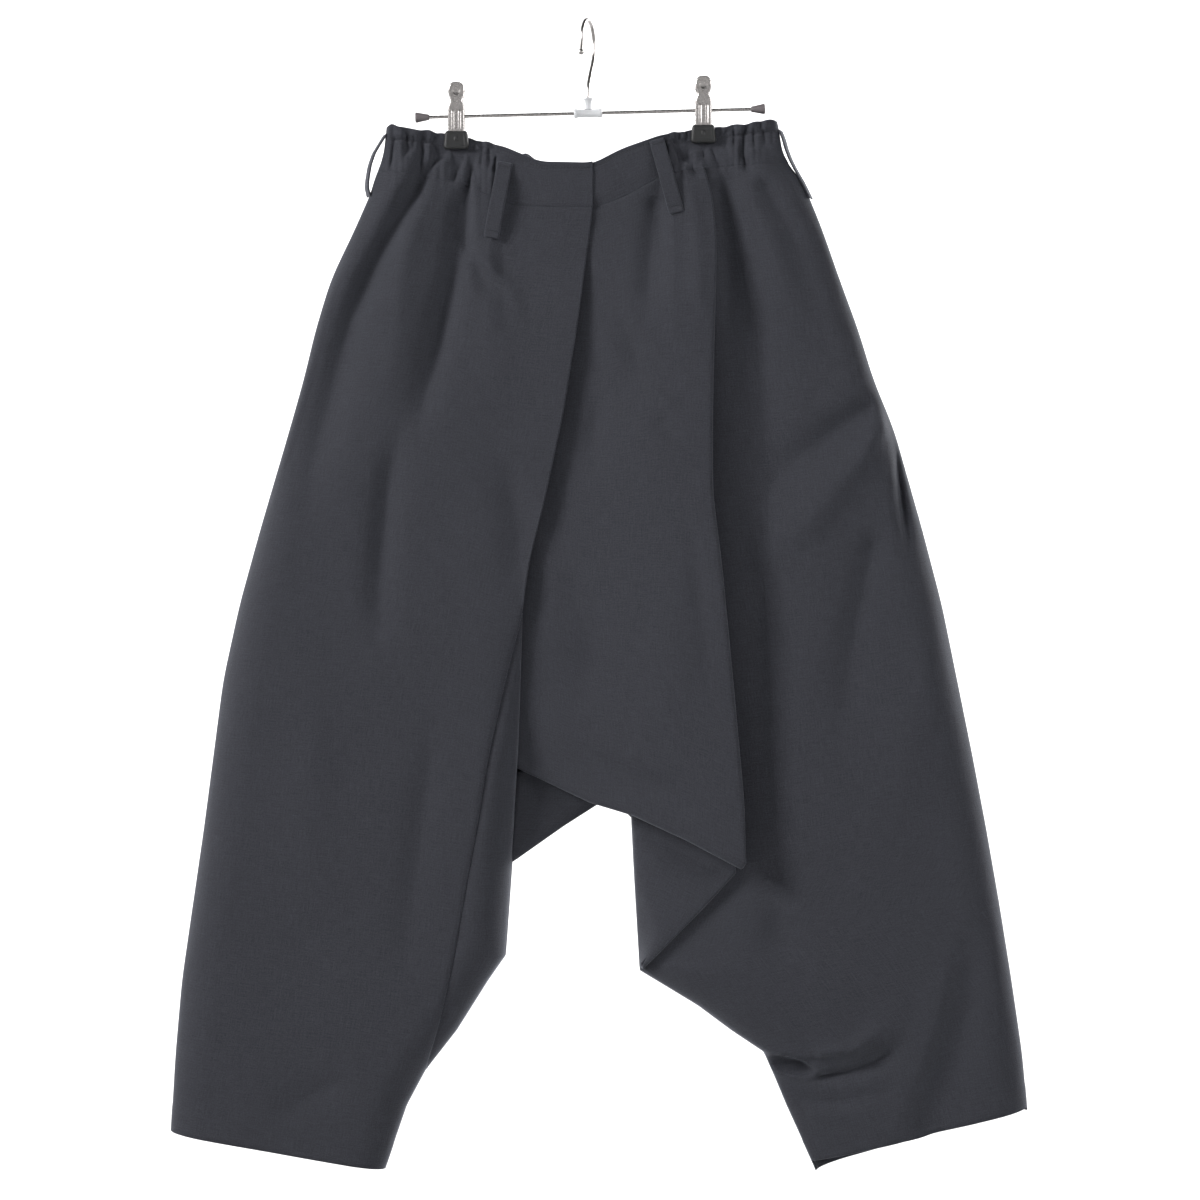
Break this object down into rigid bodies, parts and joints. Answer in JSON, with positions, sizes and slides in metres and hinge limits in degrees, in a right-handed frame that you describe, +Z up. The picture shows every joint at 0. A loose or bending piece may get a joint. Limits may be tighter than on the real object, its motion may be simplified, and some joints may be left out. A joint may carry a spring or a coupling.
{
  "type": "harem pants on a clip hanger",
  "caption": "Drop-crotch wrap-front harem pants with a gathered waistband and belt loops, hung by the waist from a rod hanger with sprung clips.",
  "frame": {"origin": "seat of the hanger's hook, the inner top of its bend, where the rail carries it", "axes": "+Z up, -Y the front of the garment, +X the wearer's left"},
  "size_m": [0.7877, 0.0928, 1.0592],
  "materials": {
    "cloth": "fine matt weave, charcoal",
    "steel": "bright plated wire and sheet",
    "grey_plastic": "satin moulded plastic",
    "clear_plastic": "pale glossy moulded plastic",
    "rubber": "black matt rubber"
  },
  "bodies": {
    "root": {"front_right": "cloth", "inner_right": "cloth", "front_centre": "cloth", "front_left": "cloth", "inner_left": "cloth", "gusset": "cloth", "back_right": "cloth", "back_left": "cloth", "waistband_front_right": "cloth", "waistband_front_left": "cloth", "waistband_back": "cloth", "loop_front_right": "cloth", "loop_front_left": "cloth", "loop_back": "cloth", "loop_side_right": "cloth", "loop_side_left": "cloth", "hanger_rod": "steel", "hanger_cap_right": "grey_plastic", "hanger_cap_left": "grey_plastic", "hanger_hook": "steel", "hanger_hub": "clear_plastic", "clip_right_front": "steel", "clip_right_pad_front": "rubber", "clip_right_back": "steel", "clip_right_pad_back": "rubber", "clip_right_spring": "steel", "clip_left_front": "steel", "clip_left_pad_front": "rubber", "clip_left_back": "steel", "clip_left_pad_back": "rubber", "clip_left_spring": "steel"}
  },
  "joints": []
}
